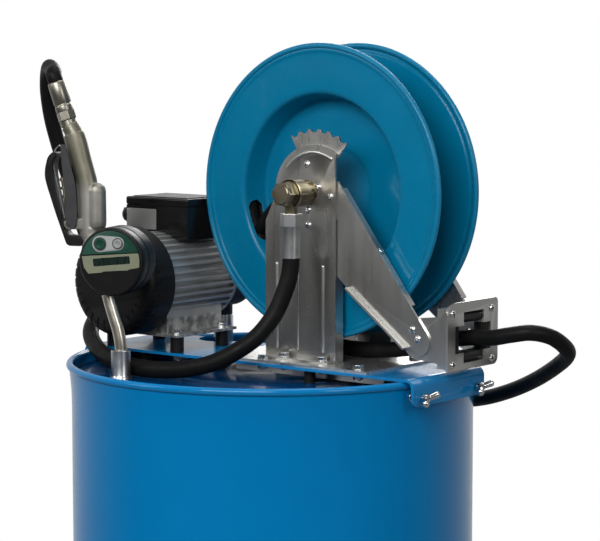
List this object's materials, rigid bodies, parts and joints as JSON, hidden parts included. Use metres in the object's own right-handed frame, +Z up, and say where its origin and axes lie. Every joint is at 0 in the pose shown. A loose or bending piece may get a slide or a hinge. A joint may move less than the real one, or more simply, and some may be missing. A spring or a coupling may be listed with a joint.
{
  "type": "drum barrel pump",
  "caption": "Oil drum with a clamped-on electric gear pump, spring-driven hose reel, hose guide and metering nozzle in its holder.",
  "frame": {"origin": "centre of the drum's foot on the floor", "axes": "+X along the mounting plate towards the roller guide, +Y to the back, +Z up along the drum's axis"},
  "size_m": [0.7715, 0.621, 1.329],
  "materials": {
    "drum_paint": "glossy blue paint",
    "reel_paint": "satin blue powder coat",
    "galvanised": "galvanised satin grey",
    "bright_zinc": "bright zinc plating",
    "brass": "yellow-zinc brass, worn",
    "rubber": "matt black rubber",
    "black_plastic": "moulded black",
    "gloss_black": "smooth black",
    "cast_aluminium": "natural casting",
    "machine_steel": "machined",
    "grey_plastic": "moulded dark grey",
    "label_green": "printed plate, green and beige"
  },
  "bodies": {
    "station": {"drum_shell": "drum_paint", "mounting_plate": "drum_paint", "stiffener_channel": "galvanised", "rubber_mounts": "rubber", "reel_base_plate": "galvanised", "near_column": "galvanised", "far_column": "galvanised", "near_arm": "galvanised", "far_arm": "galvanised", "bearings": "machine_steel", "hex_bolts": "bright_zinc", "cross_head_screws": "bright_zinc", "roller_box": "galvanised", "roller_frame": "galvanised", "swivel_body": "brass", "supply_hose": "rubber", "delivery_hose": "rubber", "pipe_fittings": "bright_zinc", "motor_housing": "cast_aluminium", "motor_end_shields": "cast_aluminium", "stator": "machine_steel", "fan_cover": "black_plastic", "terminal_box": "gloss_black", "terminal_box_lid": "gloss_black", "pump_body": "gloss_black", "pump_cover": "gloss_black", "suction_tube": "bright_zinc", "nozzle_holder": "galvanised"},
    "wing_screw_right_front": {"wing_screw_right_front": "bright_zinc"},
    "wing_screw_right_back": {"wing_screw_right_back": "bright_zinc"},
    "wing_screw_left_front": {"wing_screw_left_front": "bright_zinc"},
    "wing_screw_left_back": {"wing_screw_left_back": "bright_zinc"},
    "guide_roller_near": {"roller_near": "gloss_black"},
    "guide_roller_far": {"roller_far": "gloss_black"},
    "guide_roller_bottom": {"roller_bottom": "gloss_black"},
    "guide_roller_top": {"roller_top": "gloss_black"},
    "reel": {"reel_disc_near": "reel_paint", "reel_disc_far": "reel_paint", "reel_axle": "machine_steel", "inner_hose": "rubber", "hose_coil": "rubber", "spring_case": "reel_paint", "rewind_spring": "machine_steel"},
    "pawl": {"latch_pawl": "machine_steel"},
    "rotor": {"rotor_shaft": "machine_steel", "cooling_fan": "black_plastic", "drive_gear": "machine_steel"},
    "driven": {"driven_gear": "machine_steel"},
    "knob": {"switch_knob": "black_plastic"},
    "nozzle": {"nozzle_body": "cast_aluminium", "nozzle_spout": "bright_zinc", "nozzle_ferrule": "bright_zinc", "nozzle_hose": "rubber", "meter_body": "black_plastic", "meter_face": "label_green", "trigger_guard": "black_plastic", "valve_stem": "brass"},
    "trigger_lever": {"trigger": "grey_plastic"},
    "button_left": {"meter_button_left": "label_green"},
    "button_right": {"meter_button_right": "grey_plastic"}
  },
  "joints": [
    {"name": "wing_screw_right_front_turn", "type": "hinge", "parent": "station", "child": "wing_screw_right_front", "pos_m": [0.301, -0.056, 0.858], "axis": [1, 0, 0], "continuous": true},
    {"name": "wing_screw_right_back_turn", "type": "hinge", "parent": "station", "child": "wing_screw_right_back", "pos_m": [0.301, 0.074, 0.858], "axis": [1, 0, 0], "continuous": true},
    {"name": "wing_screw_left_front_turn", "type": "hinge", "parent": "station", "child": "wing_screw_left_front", "pos_m": [-0.301, -0.056, 0.858], "axis": [1, 0, 0], "continuous": true},
    {"name": "wing_screw_left_back_turn", "type": "hinge", "parent": "station", "child": "wing_screw_left_back", "pos_m": [-0.301, 0.074, 0.858], "axis": [1, 0, 0], "continuous": true},
    {"name": "guide_roller_near_spin", "type": "hinge", "parent": "station", "child": "guide_roller_near", "pos_m": [0.3115, 0.0025, 0.9315], "axis": [0, 0, 1], "continuous": true},
    {"name": "guide_roller_far_spin", "type": "hinge", "parent": "station", "child": "guide_roller_far", "pos_m": [0.3115, 0.0705, 0.9315], "axis": [0, 0, 1], "continuous": true},
    {"name": "guide_roller_bottom_spin", "type": "hinge", "parent": "station", "child": "guide_roller_bottom", "pos_m": [0.3115, 0.038, 0.9065], "axis": [0, 1, 0], "continuous": true},
    {"name": "guide_roller_top_spin", "type": "hinge", "parent": "station", "child": "guide_roller_top", "pos_m": [0.3115, 0.038, 0.9595], "axis": [0, 1, 0], "continuous": true},
    {"name": "reel_spin", "type": "hinge", "parent": "station", "child": "reel", "pos_m": [0.086, 0.042, 1.122], "axis": [0, 1, 0], "continuous": true},
    {"name": "pawl_lift", "type": "hinge", "parent": "station", "child": "pawl", "pos_m": [0.148, 0.09, 1.102], "axis": [0, 1, 0], "range_deg": [0, 20]},
    {"name": "rotor_spin", "type": "hinge", "parent": "station", "child": "rotor", "pos_m": [-0.188, 0, 0.987], "axis": [0, 1, 0], "continuous": true},
    {"name": "driven_gear_spin", "type": "hinge", "parent": "station", "child": "driven", "pos_m": [-0.158, 0.094, 0.987], "axis": [0, 1, 0], "continuous": true},
    {"name": "switch_turn", "type": "hinge", "parent": "station", "child": "knob", "pos_m": [-0.248, -0.02, 1.076], "axis": [-1, 0, 0], "range_deg": [0, 90]},
    {"name": "nozzle_lift", "type": "slide", "parent": "station", "child": "nozzle", "axis": [0, 0, 1], "range_m": [0, 0.08]},
    {"name": "trigger_squeeze", "type": "hinge", "parent": "nozzle", "child": "trigger_lever", "pos_m": [-0.18806, -0.21302, 1.077], "axis": [-0.3665, 0.9304, 0], "range_deg": [0, 4]},
    {"name": "button_left_press", "type": "slide", "parent": "nozzle", "child": "button_left", "axis": [-0.3665, 0.9304, 0], "range_m": [0, 0.0015]},
    {"name": "button_right_press", "type": "slide", "parent": "nozzle", "child": "button_right", "axis": [-0.3665, 0.9304, 0], "range_m": [0, 0.0015]}
  ],
  "couplings": [
    {"joint": "driven_gear_spin", "follows": "rotor_spin", "ratio": -1}
  ]
}
